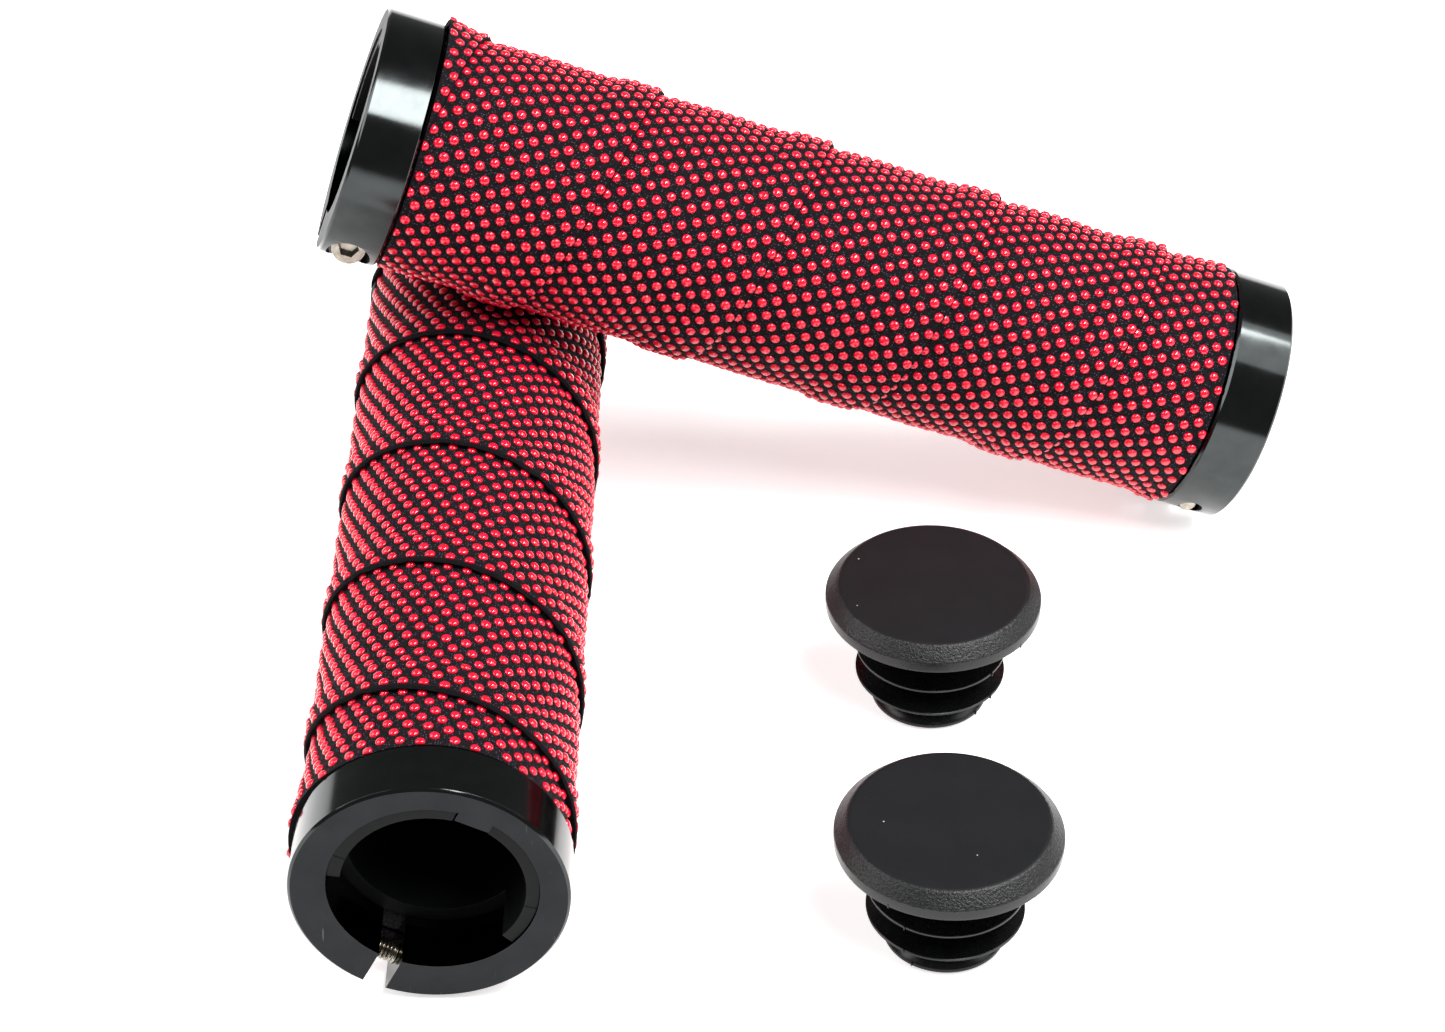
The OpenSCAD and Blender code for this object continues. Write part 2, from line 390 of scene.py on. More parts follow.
@dataclass(frozen=True)
class CellFoam:
    """Closed-cell EVA foam: black, dull, pitted with small open cells at its cut faces."""

    name: str = "black_eva_foam"
    colours: tuple[str, str] = ("#0b0b0c", "#1e1e20")
    cell_mm: float = 0.5
    cell_depth_mm: float = 0.15

    def make(self) -> bpy.types.Material:
        """Builds the finish and returns its material."""
        made = Material(self.name, {"Roughness": 0.92, "Specular IOR Level": 0.25})
        cells = add_node(made.tree, "ShaderNodeTexVoronoi", {"Scale": 1 / (self.cell_mm * MM)},
                         {"Vector": made.place})
        tones = list(zip((0.1, 0.6), self.colours))
        made.feed("Base Color", ramp(made.tree, cells.outputs["Distance"], tones))
        made.raise_by(cells.outputs["Distance"], self.cell_depth_mm)
        return made.data


Finish = (AnodisedSkin | AnodisedFace | PlatedSteel | MouldedPlastic
          | KnitTape | CutEdgeAndSeamShade | RaisedDot | CellFoam)


@cache
def material_of(finish: Finish) -> bpy.types.Material:
    """Makes a finish's material once, and hands the same one to every piece that wears it."""
    return finish.make()


# ---------------------------------------------------------------- shared modelling

def piece_from(bm: bmesh.types.BMesh, name: str, finishes: list[Finish], body: str) -> Piece:
    """Turns a finished bmesh into a piece that rides on a body.

    Args:
        bm: The mesh, in metres and in place. It is freed.
        name: The piece's name.
        finishes: Its finishes, in the order of the faces' material numbers.
        body: The CAD body it rides on.

    Returns:
        The linked object.
    """
    mesh = bpy.data.meshes.new(name)
    bm.to_mesh(mesh)
    bm.free()
    return piece_of(mesh, name, finishes, body)


def piece_of(mesh: bpy.types.Mesh, name: str, finishes: list[Finish], body: str) -> Piece:
    """Links a mesh as a piece that rides on a body.

    Args:
        mesh: The finished mesh, in metres and in place.
        name: The piece's name.
        finishes: Its finishes, in the order of the faces' material numbers.
        body: The CAD body it rides on.

    Returns:
        The linked object.
    """
    for finish in finishes:
        mesh.materials.append(material_of(finish))
    made = bpy.data.objects.new(name, mesh)
    bpy.context.scene.collection.objects.link(made)
    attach(made, body)
    LOG.info("%s: %d faces on %s", name, len(mesh.polygons), body)
    return made


def merged_copy(node: Piece) -> bmesh.types.BMesh:
    """Copies a CAD node's mesh, joins its loose triangles and clears the flat faces' inner edges."""
    bm = bmesh.new()
    bm.from_mesh(node.data)
    bmesh.ops.remove_doubles(bm, verts=bm.verts, dist=0.002 * MM)
    bmesh.ops.dissolve_limit(bm, angle_limit=math.radians(0.4), use_dissolve_boundaries=False,
                             verts=bm.verts, edges=bm.edges, delimit={"NORMAL"})
    return bm


def break_edges(bm: bmesh.types.BMesh, width_mm: float, over_degrees: float = 40.0) -> None:
    """Rounds every edge that is sharper than an angle.

    Args:
        bm: The mesh to change.
        width_mm: The rounding's width.
        over_degrees: The least angle between two faces that counts as an edge.
    """
    sharp = [e for e in bm.edges if e.is_manifold and e.calc_face_angle(0.0) > math.radians(over_degrees)]
    bmesh.ops.bevel(bm, geom=sharp, offset=width_mm * MM, offset_type="OFFSET", affect="EDGES", segments=2,
                    profile=0.5, material=-1, clamp_overlap=True)


def shade(piece: Piece, degrees: float = 32.0) -> None:
    """Shades a piece smooth, keeping edges sharper than an angle crisp."""
    piece.data.shade_smooth()
    piece.data.set_sharp_from_angle(angle=math.radians(degrees))
    weighted = piece.modifiers.new("even_normals", "WEIGHTED_NORMAL")
    weighted.keep_sharp = True


@dataclass
class GripPlace:
    """Where a grip lies: its own millimetre axes, +z along the bore from the near ring, slit towards -y."""

    origin: Vector
    turn: Matrix

    @classmethod
    def from_record(cls, record: dict, grip: str, near: str) -> "GripPlace":
        """Reads a grip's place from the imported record.

        Args:
            record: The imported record.
            grip: "lower" or "upper".
            near: The name of the end that counts as z = 0.

        Returns:
            The grip's place.
        """
        joints = {j["name"]: j for j in record["behaviour"]["joints"]}
        mounts = {m["name"]: m for m in record["mounts"]}
        along = -Vector(joints[f"{grip}_{near}_lock_ring_slide"]["axis"]).normalized()
        middle = Vector(mounts[f"{grip}_bar_bore"]["pos_m"])
        arm = Vector(joints[f"{grip}_{near}_clamp_screw_turn"]["pos_m"]) - middle
        away = -(arm - along * arm.dot(along)).normalized()
        turn = Matrix((away.cross(along), away, along)).transposed()
        return cls(middle - along * (GRIP_LENGTH_MM / 2 * MM), turn)

    @property
    def axis(self) -> Vector:
        """The bore's direction, from the near ring to the far one."""
        return Vector(self.turn.col[2])

    @property
    def matrix(self) -> Matrix:
        """The matrix from the grip's own millimetres to the frame's metres."""
        return Matrix.Translation(self.origin) @ self.turn.to_4x4() @ Matrix.Scale(MM, 4)

    def spot(self, x: float, y: float, z: float) -> Vector:
        """A point given in the grip's own millimetres, in the frame's metres."""
        return self.matrix @ Vector((x, y, z))


# ---------------------------------------------------------------- the wound tape

def eased(share: float) -> float:
    """A smooth step from 0 to 1."""
    held = max(0.0, min(1.0, share))
    return held * held * (3 - 2 * held)


@dataclass
class Flare:
    """How the tape's end bulges beside a lock ring: the side it leans to, its rise and its reach."""

    side_degrees: float
    rise_mm: float
    reach_mm: float

    def at(self, from_ring_mm: float, angle: float) -> float:
        """The rise at a distance from the ring and an angle from the slit."""
        fade = max(0.0, 1.0 - from_ring_mm / self.reach_mm) ** 1.6
        lean = ((1.0 + math.cos(angle - math.radians(self.side_degrees))) / 2) ** 5
        return self.rise_mm * fade * lean


@dataclass(frozen=True)
class Touch:
    """Where the other grip lies against a tape: the plane between the grips and the other one's round.

    Attributes:
        base: A point on the plane.
        outward: The plane's normal, away from the tape's own grip.
        across: The direction in the plane square to the other grip.
        radius_mm: The other grip's radius over its dots.
    """

    base: Vector
    outward: Vector
    across: Vector
    radius_mm: float = 17.3

    def press(self, spot: Vector, keep_mm: float) -> Vector:
        """Moves a point back under the other grip's surface.

        Args:
            spot: A point in metres.
            keep_mm: The depth that has to stay between the point and the other grip.

        Returns:
            The point, moved only where it would reach into the other grip.
        """
        arm = (spot - self.base) / MM
        side = arm.dot(self.across)
        if abs(side) >= self.radius_mm:
            return spot
        room = self.radius_mm - math.sqrt(self.radius_mm ** 2 - side ** 2)
        past = arm.dot(self.outward) + keep_mm - room
        return spot - self.outward * (past * MM) if past > 0 else spot


@dataclass
class WoundTape:
    """The printed tape of one grip: a strip wound in overlapping turns, and its raised dots.

    Attributes:
        grip: "lower" or "upper".
        place: The grip's place.
        seam_at_slit_mm: Where a turn's front edge crosses the slit's side, along the grip.
        touch: Where the other grip presses on it.
        selvage_mm: The plain band in front of the first row of dots; its top wears the near-black cut-edge
            finish as painted seam shade.
        bead_mm: How far the front edge's rolled bead stands up.
        near_flare: The bulge beside the near ring.
        far_flare: The bulge beside the far ring.
        pitch_mm: The advance of one turn along the grip.
        span_mm: Where the tape begins and ends along the grip.
        width_mm: The strip's width along the grip, so that it laps the turn before it.
        thickness_mm: The strip's thickness.
        crown_mm: The outer radius on the lap.
        bed_mm: The outer radius on the foam.
        dip_mm: How far the strip sinks towards its hidden rear edge.
        slope_mm: The length over which it drops off the lap.
        sink_mm: The length over which it sinks under the next turn.
        bead_width_mm: The width of the rolled bead.
        steps_a_turn: The strip's faces in one turn.
        keep_mm: The room left between the strip and the other grip.
        dot_radius_mm: A dot's radius.
        dot_height_mm: A dot's height.
        dot_step_mm: The spacing of the dots along a row.
        dot_row_mm: The spacing of the rows, which are staggered by half a step.
        jitter_mm: How far a dot may lie off its place.
        least_inset_mm: How far a dot's middle stays inside the strip's cut ends.
        rim_gap_mm: How far a squeezed dot's rim stays inside them.
        wind_radius_mm: The radius at which lengths along the strip are true.
        rng: What spreads the dots' sizes and places.
    """

    grip: str
    place: GripPlace
    seam_at_slit_mm: float
    touch: Touch
    selvage_mm: float
    bead_mm: float
    near_flare: Flare
    far_flare: Flare
    pitch_mm: float = 24.65
    span_mm: tuple[float, float] = (8.36, GRIP_LENGTH_MM - 8.36)
    width_mm: float = 29.2
    thickness_mm: float = 0.85
    crown_mm: float = 17.0
    bed_mm: float = 16.5
    dip_mm: float = 0.3
    slope_mm: float = 2.4
    sink_mm: float = 3.0
    bead_width_mm: float = 0.9
    steps_a_turn: int = 132
    keep_mm: float = 0.22
    dot_radius_mm: float = 0.73
    dot_height_mm: float = 0.42
    dot_step_mm: float = 2.62
    dot_row_mm: float = 1.535
    jitter_mm: float = 0.05
    least_inset_mm: float = 0.1
    rim_gap_mm: float = 0.02
    wind_radius_mm: float = 16.9
    rng: random.Random = field(default_factory=lambda: random.Random(SEED))

    @property
    def lead(self) -> float:
        """The winding's angle from a plain ring around the grip, in radians."""
        return math.atan2(self.pitch_mm, math.tau * self.wind_radius_mm)

    def height(self, across: float) -> float:
        """The strip's outer radius at a distance from its front edge, both in mm along the grip."""
        lap = self.width_mm - self.pitch_mm
        if across < self.bead_width_mm:
            return self.crown_mm + self.bead_mm * (1 - (2 * across / self.bead_width_mm - 1) ** 2)
        if across < lap:
            return self.crown_mm
        if across < lap + self.slope_mm:
            return self.crown_mm + (self.bed_mm - self.crown_mm) * eased((across - lap) / self.slope_mm)
        fall = eased((across - self.pitch_mm + self.sink_mm) / self.sink_mm)
        ripple = 0.06 * math.sin(across * 0.5)
        return self.bed_mm + ripple - self.dip_mm * fall

    def edge(self, angle: float) -> float:
        """Where the strip's front edge lies along the grip, at an unwound angle from the slit."""
        return self.seam_at_slit_mm + self.pitch_mm * angle / math.tau

    def point(self, angle: float, along: float, across: float, lift: float = 0.0) -> Vector:
        """A point on the strip, in the frame's metres.

        Args:
            angle: The unwound angle from the slit, in radians.
            along: The place along the grip, in mm.
            across: The distance from the strip's front edge, in mm along the grip.
            lift: How far the point stands over the strip, in mm.

        Returns:
            The point.
        """
        swell = self.near_flare.at(along - self.span_mm[0], angle)
        swell += self.far_flare.at(self.span_mm[1] - along, angle)
        spot = Vector((along * 0.13, math.cos(angle) * 1.7, math.sin(angle) * 1.7 + self.crown_mm))
        wave = 0.10 * noise.noise(spot)
        radius = self.height(across) + swell + wave + lift
        return self.place.spot(-math.sin(angle) * radius, -math.cos(angle) * radius - TAPE_SHIFT_MM, along)

    def strip(self) -> bmesh.types.BMesh:
        """Winds the strip: a flat grid wrapped round the grip to just past both ends, and thickened."""
        turns = (self.span_mm[1] + 1 - (self.span_mm[0] - self.width_mm - 1)) / self.pitch_mm
        first = (self.span_mm[0] - self.width_mm - 1 - self.seam_at_slit_mm) / self.pitch_mm * math.tau
        around = int(turns * self.steps_a_turn)
        # Rows across the strip: close at the bead, the drop off the lap and the tuck, wide between them
        across = [0.0, 0.25, 0.5, 0.9, 1.6, 2.6, 4.2] + [4.7 + 0.45 * i for i in range(6)]
        across += [8.2 + 1.7 * i for i in range(8)] + [21.4, 22.4, 23.3, 24.2, 25.4, 27.2, self.width_mm]
        bm = bmesh.new()
        bmesh.ops.create_grid(bm, x_segments=around, y_segments=len(across) - 1, size=0.5)
        chart = bm.loops.layers.uv.new("tape")
        mapping = {}
        for vert in bm.verts:
            step = round((vert.co.x + 0.5) * around)
            row = round((vert.co.y + 0.5) * (len(across) - 1))
            angle = first + turns * math.tau * step / around
            fray = (0.16, 0.08)[row] * noise.noise(Vector((angle * 9.0, 3.1, 0.0))) if row < 2 else 0.0
            mapping[vert] = (angle, across[row] + fray)
        for face in bm.faces:
            face.smooth = True
            # Top faces that end within the selvage, or up to 0.12 mm past it, take the cut edge's near-black
            # finish: painted shade along the seam
            far_side = max(mapping[v][1] for v in face.verts)
            face.material_index = 1 if far_side < self.selvage_mm + 0.12 else 0
            for loop in face.loops:
                angle, wide = mapping[loop.vert]
                run = angle * self.wind_radius_mm / math.cos(self.lead)
                loop[chart].uv = (run, wide * math.cos(self.lead))
        for vert, (angle, wide) in mapping.items():
            vert.co = self.touch.press(self.point(angle, self.edge(angle) + wide, wide), self.keep_mm)
        bmesh.ops.recalc_face_normals(bm, faces=bm.faces)
        probe = bm.faces[0]
        outward = probe.calc_center_median() - self.place.spot(0, -TAPE_SHIFT_MM, 0)
        outward -= self.place.axis * outward.dot(self.place.axis)
        if probe.normal.dot(outward) < 0:
            bmesh.ops.reverse_faces(bm, faces=bm.faces)
        bmesh.ops.solidify(bm, geom=bm.faces[:], thickness=self.thickness_mm * MM)
        return bm

    def trim(self, bm: bmesh.types.BMesh) -> None:
        """Cuts the wound strip square at both rings and closes the cuts."""
        axis = self.place.axis
        for along, sign in ((self.span_mm[0], -1.0), (self.span_mm[1], 1.0)):
            cut = bmesh.ops.bisect_plane(bm, geom=bm.verts[:] + bm.edges[:] + bm.faces[:], dist=1e-7,
                                         plane_co=self.place.spot(0, 0, along), plane_no=axis * sign,
                                         clear_outer=True)
            rim = [e for e in cut["geom_cut"] if isinstance(e, bmesh.types.BMEdge)]
            bmesh.ops.edgenet_fill(bm, edges=rim, mat_nr=1, use_smooth=False, sides=0)
        bmesh.ops.recalc_face_normals(bm, faces=bm.faces)
        for face in bm.faces:
            middle = face.calc_center_median() - self.place.spot(0, -TAPE_SHIFT_MM, 0)
            radial = (middle - axis * middle.dot(axis)).normalized()
            if abs(face.normal.dot(radial)) < 0.55:
                face.material_index = 1

    def dome(self) -> tuple[np.ndarray, list[tuple[int, ...]]]:
        """Models one dot of unit radius and unit height from a cone, and returns its points and faces."""
        bm = bmesh.new()
        bmesh.ops.create_cone(bm, cap_ends=True, cap_tris=False, segments=9, radius1=1.0, radius2=0.88,
                              depth=0.7)
        bmesh.ops.translate(bm, verts=bm.verts, vec=(0, 0, 0.1))
        top = [f for f in bm.faces if f.calc_center_median().z > 0.4]
        bmesh.ops.inset_region(bm, faces=top, thickness=0.34, depth=0.45, use_even_offset=True)
        crown = bmesh.ops.poke(bm, faces=top)["verts"]
        crown[0].co.z += 0.1
        bmesh.ops.recalc_face_normals(bm, faces=bm.faces)
        bm.verts.index_update()
        points = np.array([v.co[:] for v in bm.verts])
        faces = [tuple(v.index for v in f.verts) for f in bm.faces]
        bm.free()
        return points, faces

    def dot(self, unit: np.ndarray, angle: float, along: float, size: float, tall: float) -> list[Vector]:
        """Lays one dot on the strip, squeezed in where it would pass the selvage, a lap or a ring.

        Args:
            unit: The points of a dot of unit radius and height.
            angle: The dot's unwound angle from the slit, in radians.
            along: Its place along the grip, in mm.
            size: Its radius in mm.
            tall: Its height in mm.

        Returns:
            The dot's points, in the frame's metres.
        """
        near, far = self.span_mm
        spots = []
        for side, ahead, up in unit:
            level = min(max(along + ahead * size, near + self.rim_gap_mm), far - self.rim_gap_mm)
            turned = angle + side * size / self.wind_radius_mm
            across = level - self.edge(turned)
            if across < self.selvage_mm:
                level += self.selvage_mm - across
                across = self.selvage_mm
            across = min(across, self.pitch_mm + 1.2)
            # A dot's foot keeps 0.2 mm more room under the other grip than its top, so it stays closed
            sunk = 0.03 + 0.2 * (1.0 - (up + 0.25) / 1.25)
            spots.append(self.touch.press(self.point(turned, level, across, up * tall), sunk))
        return spots

    def dots(self) -> bpy.types.Mesh:
        """Prints the dots: staggered rows along the strip, cut off at its front edge and at the rings."""
        near, ring = self.span_mm
        unit, faces = self.dome()
        sin, cos = math.sin(self.lead), math.cos(self.lead)
        length = (ring - near + 2 * self.pitch_mm) / sin
        start = (near - self.seam_at_slit_mm - self.pitch_mm) / sin
        points, polygons = [], []
        for row in range(int(self.pitch_mm * cos / self.dot_row_mm) + 1):
            wide = self.selvage_mm + 0.5 + row * self.dot_row_mm
            for column in range(int(length / self.dot_step_mm)):
                far = start + (column + 0.5 * (row % 2)) * self.dot_step_mm
                jitter = [self.rng.uniform(-self.jitter_mm, self.jitter_mm) for _ in range(2)]
                size = self.dot_radius_mm * self.rng.uniform(0.95, 1.04)
                tall = self.dot_height_mm * self.rng.uniform(0.88, 1.08)
                round_mm = (far + jitter[0]) * cos - (wide + jitter[1]) * sin
                angle = round_mm / self.wind_radius_mm
                along = self.seam_at_slit_mm + (far + jitter[0]) * sin + (wide + jitter[1]) * cos
                if not near + self.least_inset_mm < along < ring - self.least_inset_mm:
                    continue
                base = len(points)
                points.extend(self.dot(unit, angle, along, size, tall))
                polygons.extend(tuple(base + i for i in f) for f in faces)
        mesh = bpy.data.meshes.new(f"{self.grip}_tape_dots")
        mesh.from_pydata(points, [], polygons)
        mesh.validate()
        mesh.shade_smooth()
        return mesh

    def build(self) -> None:
        """Makes the strip and its dots, dressed and riding on their grip."""
        bm = self.strip()
        self.trim(bm)
        name, body = f"{self.grip}_wound_tape", f"{self.grip}_grip"
        tape = piece_from(bm, name, [KnitTape(), CutEdgeAndSeamShade()], body)
        tape.data.set_sharp_from_angle(angle=math.radians(50))
        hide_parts(f"{self.grip}_wrap_tape")
        piece_of(self.dots(), f"{self.grip}_tape_dots", [RaisedDot()], body)


# ---------------------------------------------------------------- rings, screws, sleeves and pads

@dataclass
class GripHardware:
    """One grip's rings, screws, sleeve and pad, taken over from the frame and finished."""

    grip: str
    ends: tuple[str, str]
    place: GripPlace
    nodes: dict
    ring_break_mm: float = 0.13
    screw_break_mm: float = 0.05
    sleeve_break_mm: float = 0.09
    pad_break_mm: float = 0.3
    # The parting lines: their size, their distance from the bore's middle and their angles from the slit
    line_mm: tuple[float, float, float] = (0.16, 1.5, 0.24)
    line_radius_mm: float = 11.98
    line_degrees: tuple[float, float] = (-87.0, 101.0)
    finger_end_mm: float = 0.3

    def ring(self, end: str) -> None:
        """Finishes a lock ring: glossy turned skin, satin end faces and broken edges."""
        name = f"{self.grip}_{end}_lock_ring"
        bm = merged_copy(self.nodes[name])
        break_edges(bm, self.ring_break_mm)
        axis = self.place.axis
        for face in bm.faces:
            face.material_index = 1 if abs(face.normal.dot(axis)) > 0.95 else 0
        made = piece_from(bm, f"{name}_turned", [AnodisedSkin(), AnodisedFace()], name)
        shade(made)
        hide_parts(name)

    def screw(self, end: str) -> None:
        """Finishes a clamp screw: plated steel with softened edges."""
        name = f"{self.grip}_{end}_clamp_screw"
        bm = merged_copy(self.nodes[name])
        break_edges(bm, self.screw_break_mm)
        made = piece_from(bm, f"{name}_plated", [PlatedSteel()], name)
        shade(made, 28.0)
        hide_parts(name)

    def sleeve(self) -> None:
        """Finishes the sleeve, with the mould's parting lines across its finger ends."""
        name = f"{self.grip}_sleeve"
        bm = merged_copy(self.nodes[name])
        break_edges(bm, self.sleeve_break_mm)
        for angle in self.line_degrees:
            for along, inward in ((self.finger_end_mm, 1.0), (GRIP_LENGTH_MM - self.finger_end_mm, -1.0)):
                self.parting_line(bm, math.radians(angle), along, inward)
        black = MouldedPlastic("black_moulded_nylon", ("#0e0f10", "#131415"), Grain.FINE, 0.08)
        made = piece_from(bm, f"{name}_moulded", [black], f"{self.grip}_grip")
        shade(made)
        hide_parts(name)

    def parting_line(self, bm: bmesh.types.BMesh, angle: float, along: float, inward: float) -> None:
        """Adds one raised parting line across a finger's end.

        Args:
            bm: The sleeve's mesh.
            angle: The angle from the slit, in radians.
            along: The finger end's place along the grip, in mm.
            inward: 1 if the grip lies towards +z from it, else -1.
        """
        bar = bmesh.ops.create_cube(bm, size=1.0)["verts"]
        bmesh.ops.scale(bm, verts=bar, vec=self.line_mm)
        sunk = self.line_mm[2] / 4 * inward
        bmesh.ops.translate(bm, verts=bar, vec=(0, -self.line_radius_mm, along + sunk))
        turn = Matrix.Rotation(-angle, 4, "Z")
        bmesh.ops.transform(bm, matrix=self.place.matrix @ turn, verts=bar)

    def pad(self) -> None:
        """Finishes the foam pad."""
        name = f"{self.grip}_foam_pad"
        bm = merged_copy(self.nodes[name])
        break_edges(bm, self.pad_break_mm)
        made = piece_from(bm, f"{name}_cut", [CellFoam()], f"{self.grip}_grip")
        shade(made)
        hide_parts(name)

    def build(self) -> None:
        """Makes every hard piece of the grip."""
        for end in self.ends:
            self.ring(end)
            self.screw(end)
        self.sleeve()
        self.pad()


# ---------------------------------------------------------------- end plugs

PLUG_FINISHES = (
    MouldedPlastic("smooth_moulded_polypropylene", ("#101113", "#141517"), Grain.FINE, 0.32, 0.8),
    MouldedPlastic("spark_grained_polypropylene", ("#0b0c0d", "#101112"), Grain.SPARKED, 0.4),
    MouldedPlastic("polished_moulded_polypropylene", ("#090a0b", "#0e0f10"), Grain.POLISHED, 0.35),
)


@dataclass
class EndPlug:
    """A push-in plug: bevelled cap with a smooth top, grained slope, two full fins and an end fin."""

    name: str
    line_degrees: float
    cap_radius_mm: float = 14.2
    top_radius_mm: float = 12.5
    height_mm: float = 18.7
    slope_mm: float = 1.75
    edge_mm: float = 1.6
    fin_radius_mm: float = 9.9
    end_fin_radius_mm: float = 7.7
    fin_levels_mm: tuple[float, float] = (4.6, 8.5)
    stem_radius_mm: float = 6.3
    hollow_radius_mm: float = 4.7
    hollow_mm: float = 14.6
    fin_rim_mm: float = 0.27
    nib_mm: tuple[float, float, float] = (0.34, 0.16, 0.62)
    segments: int = 128

    def outline(self) -> list[tuple[float, float]]:
        """The half section as radius and height in mm, from the hollow's mouth round to the cap's middle."""
        rim = self.fin_rim_mm
        top = self.height_mm - self.slope_mm
        low = top - self.edge_mm
        points = [(0.0, self.hollow_mm), (self.hollow_radius_mm - 0.5, self.hollow_mm),
                  (self.hollow_radius_mm, self.hollow_mm - 0.5), (self.hollow_radius_mm, 0.25),
                  (self.hollow_radius_mm + 0.25, 0.0), (self.end_fin_radius_mm - 0.5, 0.0),
                  (self.end_fin_radius_mm - 0.08, 0.3), (self.end_fin_radius_mm, 0.62),
                  (self.end_fin_radius_mm - 0.12, 0.92), (self.stem_radius_mm + 0.35, 1.45),
                  (self.stem_radius_mm, 1.9)]
        for level in self.fin_levels_mm:
            points += [(self.stem_radius_mm, level - 1.0), (self.stem_radius_mm + 0.4, level - 0.62),
                       (self.fin_radius_mm - 0.15, level - rim), (self.fin_radius_mm, level - 0.12),
                       (self.fin_radius_mm, level + 0.12), (self.fin_radius_mm - 0.15, level + rim),
                       (self.stem_radius_mm + 0.4, level + 0.62), (self.stem_radius_mm, level + 1.0)]
        points += [(self.stem_radius_mm, low - 0.5), (self.stem_radius_mm + 0.5, low),
                   (self.cap_radius_mm - 0.35, low), (self.cap_radius_mm - 0.04, low + 0.12),
                   (self.cap_radius_mm, low + 0.3), (self.cap_radius_mm, top - 0.12),
                   (self.cap_radius_mm - 0.1, top + 0.1),
                   (self.top_radius_mm + 0.22, self.height_mm - 0.2),
                   (self.top_radius_mm - 0.05, self.height_mm - 0.03),
                   (self.top_radius_mm - 0.5, self.height_mm), (0.0, self.height_mm)]
        return points

    def body(self) -> bmesh.types.BMesh:
        """Spins the half section round its axis."""
        bm = bmesh.new()
        verts = [bm.verts.new((r, 0.0, z)) for r, z in self.outline()]
        edges = [bm.edges.new(pair) for pair in zip(verts, verts[1:])]
        bmesh.ops.spin(bm, geom=verts + edges, cent=(0, 0, 0), axis=(0, 0, 1), angle=math.tau,
                       steps=self.segments, use_merge=True, use_duplicate=False)
        bmesh.ops.remove_doubles(bm, verts=bm.verts, dist=1e-4)
        bmesh.ops.recalc_face_normals(bm, faces=bm.faces)
        top = self.height_mm - self.slope_mm
        for face in bm.faces:
            middle = face.calc_center_median()
            reach = Vector(middle[:2]).length
            if middle.z > top - 0.05:
                face.material_index = 0 if reach < self.top_radius_mm - 0.2 else 1
            else:
                face.material_index = 2
        return bm

    def flash(self, bm: bmesh.types.BMesh) -> None:
        """Adds the small nibs of flash where the mould's halves met, one on each rim."""
        rims = [(self.fin_radius_mm, level) for level in self.fin_levels_mm]
        rims += [(self.end_fin_radius_mm, 0.6), (self.cap_radius_mm - 0.1, self.height_mm - 3.15)]
        for reach, level in rims:
            for half_turn in (0.0, math.pi):
                nib = bmesh.ops.create_cube(bm, size=1.0)["verts"]
                bmesh.ops.scale(bm, verts=nib, vec=self.nib_mm)
                faces = list({f for v in nib for f in v.link_faces})
                bmesh.ops.bevel(bm, geom=list({e for f in faces for e in f.edges}), offset=0.05,
                                offset_type="OFFSET", affect="EDGES", segments=1, profile=0.5, material=-1)
                # Only the new nib lies within 1 mm of the origin
                nib = [v for v in bm.verts if v.co.length < 1.0]
                bmesh.ops.translate(bm, verts=nib, vec=(reach, 0, level))
                turn = Matrix.Rotation(math.radians(self.line_degrees) + half_turn, 4, "Z")
                bmesh.ops.transform(bm, matrix=turn, verts=nib)
                for face in {f for v in nib for f in v.link_faces}:
                    face.material_index = 2

    def build(self) -> None:
        """Makes the plug where its CAD node stands."""
        low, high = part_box(self.name)
        bm = self.body()
        self.flash(bm)
        middle = (low + high) / 2
        place = Matrix.Translation((middle.x, middle.y, low.z)) @ Matrix.Scale(MM, 4)
        bmesh.ops.transform(bm, matrix=place, verts=bm.verts)
        made = piece_from(bm, f"{self.name}_moulded", list(PLUG_FINISHES), self.name)
        shade(made, 40.0)
        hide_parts(self.name)


# ---------------------------------------------------------------- stage

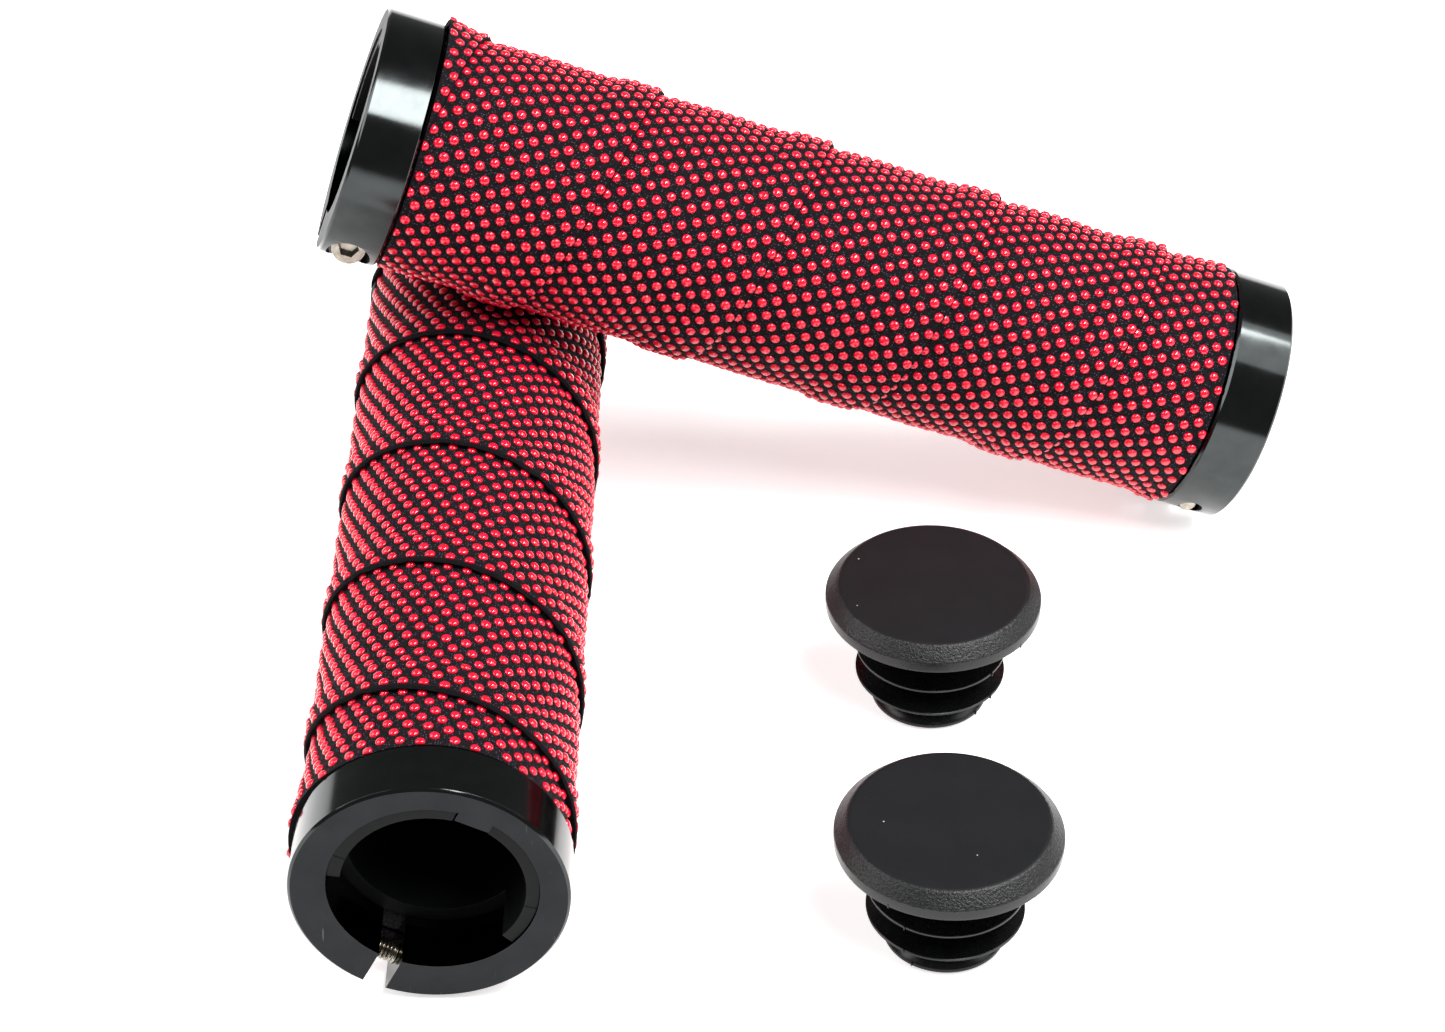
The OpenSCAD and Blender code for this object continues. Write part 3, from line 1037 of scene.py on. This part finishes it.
@dataclass(frozen=True)
class Studio:
    """The pale floor, the dim surroundings, the softboxes and the camera, whose angles are in radians."""

    camera_m: tuple[float, float, float] = (-0.00827, -0.40649, 0.34339)
    heading: float = -0.007
    fall: float = 0.664
    roll: float = 0.007
    lens_mm: float = 98.0
    room_light: float = 0.2

    def floor(self) -> None:
        """Lays the floor."""
        bm = bmesh.new()
        bmesh.ops.create_grid(bm, x_segments=4, y_segments=4, size=4.0)
        mesh = bpy.data.meshes.new("floor")
        bm.to_mesh(mesh)
        bm.free()
        # The paper glows a little, as an evenly lit sweep does, so that shadows on it stay pale
        paper = Material("white_paper_sweep", {"Base Color": linear("#f7f6f6"), "Roughness": 0.9,
                                               "Specular IOR Level": 0.1,
                                               "Emission Color": linear("#fffdfc"),
                                               "Emission Strength": 0.6})
        mesh.materials.append(paper.data)
        made = bpy.data.objects.new("floor", mesh)
        bpy.context.scene.collection.objects.link(made)

    def softbox(self, name: str, spot: tuple[float, float, float], size: tuple[float, float],
                brightness: float) -> None:
        """Hangs one softbox that points at the grips.

        Args:
            name: The softbox's name.
            spot: Its middle, in metres.
            size: Its width and depth, in metres.
            brightness: Its radiance, where 1 is a white sheet that shows as white.
        """
        data = bpy.data.lights.new(name, "AREA")
        data.shape = "RECTANGLE"
        data.size, data.size_y = size
        data.energy = brightness * math.pi * size[0] * size[1]
        made = bpy.data.objects.new(name, data)
        made.location = spot
        aim = Vector((0.0, 0.0, 0.02)) - Vector(spot)
        made.rotation_euler = aim.to_track_quat("-Z", "Y").to_euler()
        bpy.context.scene.collection.objects.link(made)

    def light(self) -> None:
        """Sets the dim surroundings and the softboxes: a bright one overhead, two wide ones at the sides."""
        world = bpy.data.worlds.new("dim_room")
        world.use_nodes = True
        background = world.node_tree.nodes["Background"]
        background.inputs["Color"].default_value = linear("#ffffff")
        background.inputs["Strength"].default_value = self.room_light
        bpy.context.scene.world = world
        self.softbox("overhead_softbox", (0.33, -0.17, 0.8), (0.85, 0.22), 20.0)
        self.softbox("left_softbox", (-0.85, -0.05, 0.75), (0.8, 0.8), 4.2)
        self.softbox("right_softbox", (0.85, -0.05, 0.75), (0.8, 0.8), 2.5)

    def camera(self) -> None:
        """Places the camera at its viewing angle."""
        forward = Vector((math.sin(self.heading) * math.cos(self.fall),
                          math.cos(self.heading) * math.cos(self.fall), -math.sin(self.fall)))
        level = forward.cross(Vector((0, 0, 1))).normalized()
        upright = level.cross(forward)
        right = level * math.cos(self.roll) + upright * math.sin(self.roll)
        up = upright * math.cos(self.roll) - level * math.sin(self.roll)
        data = bpy.data.cameras.new("camera")
        data.lens = self.lens_mm
        data.sensor_width = 36.0
        data.clip_start = 0.01
        made = bpy.data.objects.new("camera", data)
        axes = Matrix((right, up, -forward)).transposed()
        made.matrix_world = Matrix.Translation(self.camera_m) @ axes.to_4x4()
        bpy.context.scene.collection.objects.link(made)
        bpy.context.scene.camera = made

    def build(self) -> None:
        """Sets up the whole stage."""
        self.floor()
        self.light()
        self.camera()
        bpy.context.scene.view_settings.view_transform = "Standard"


def touches(lower: GripPlace, upper: GripPlace) -> tuple[Touch, Touch]:
    """Finds how the two crossing grips press on each other.

    Args:
        lower: The lying grip's place.
        upper: The leaning grip's place.

    Returns:
        What the lying grip's tape feels, and what the leaning one's feels.
    """
    one, other = lower.axis, upper.axis
    start, end = lower.spot(0, -TAPE_SHIFT_MM, 0), upper.spot(0, -TAPE_SHIFT_MM, 0)
    normal = one.cross(other).normalized()
    if normal.z < 0:
        normal = -normal
    # Where the two middle lines pass each other
    flat = other - one * one.dot(other)
    reach = (start - end).dot(flat) / flat.length_squared
    near_upper = end + other * reach
    near_lower = near_upper - normal * (near_upper - start).dot(normal)
    base = (near_upper + near_lower) / 2
    return Touch(base, normal, normal.cross(other)), Touch(base, -normal, normal.cross(one))


def main() -> None:
    """Builds every piece on the loaded frame."""
    logging.basicConfig(level=logging.INFO, format="%(name)s: %(message)s")
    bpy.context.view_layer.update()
    record, nodes = frame["record"], frame["nodes"]
    lower = GripPlace.from_record(record, "lower", "front")
    upper = GripPlace.from_record(record, "upper", "right")
    on_lower, on_upper = touches(lower, upper)
    Studio().build()
    GripHardware("lower", ("front", "rear"), lower, nodes).build()
    GripHardware("upper", ("right", "left"), upper, nodes).build()
    WoundTape("lower", lower, seam_at_slit_mm=3.6, touch=on_lower, selvage_mm=0.8, bead_mm=0.25,
              near_flare=Flare(-64.0, 1.2, 10.0), far_flare=Flare(90.0, 0.4, 6.0)).build()
    WoundTape("upper", upper, seam_at_slit_mm=6.1, touch=on_upper, selvage_mm=0.15, bead_mm=0.04,
              near_flare=Flare(150.0, 0.5, 14.0), far_flare=Flare(150.0, 1.1, 5.0)).build()
    EndPlug("far_end_plug", -38.0).build()
    EndPlug("near_end_plug", -123.0).build()


if __name__ == "__main__":
    main()
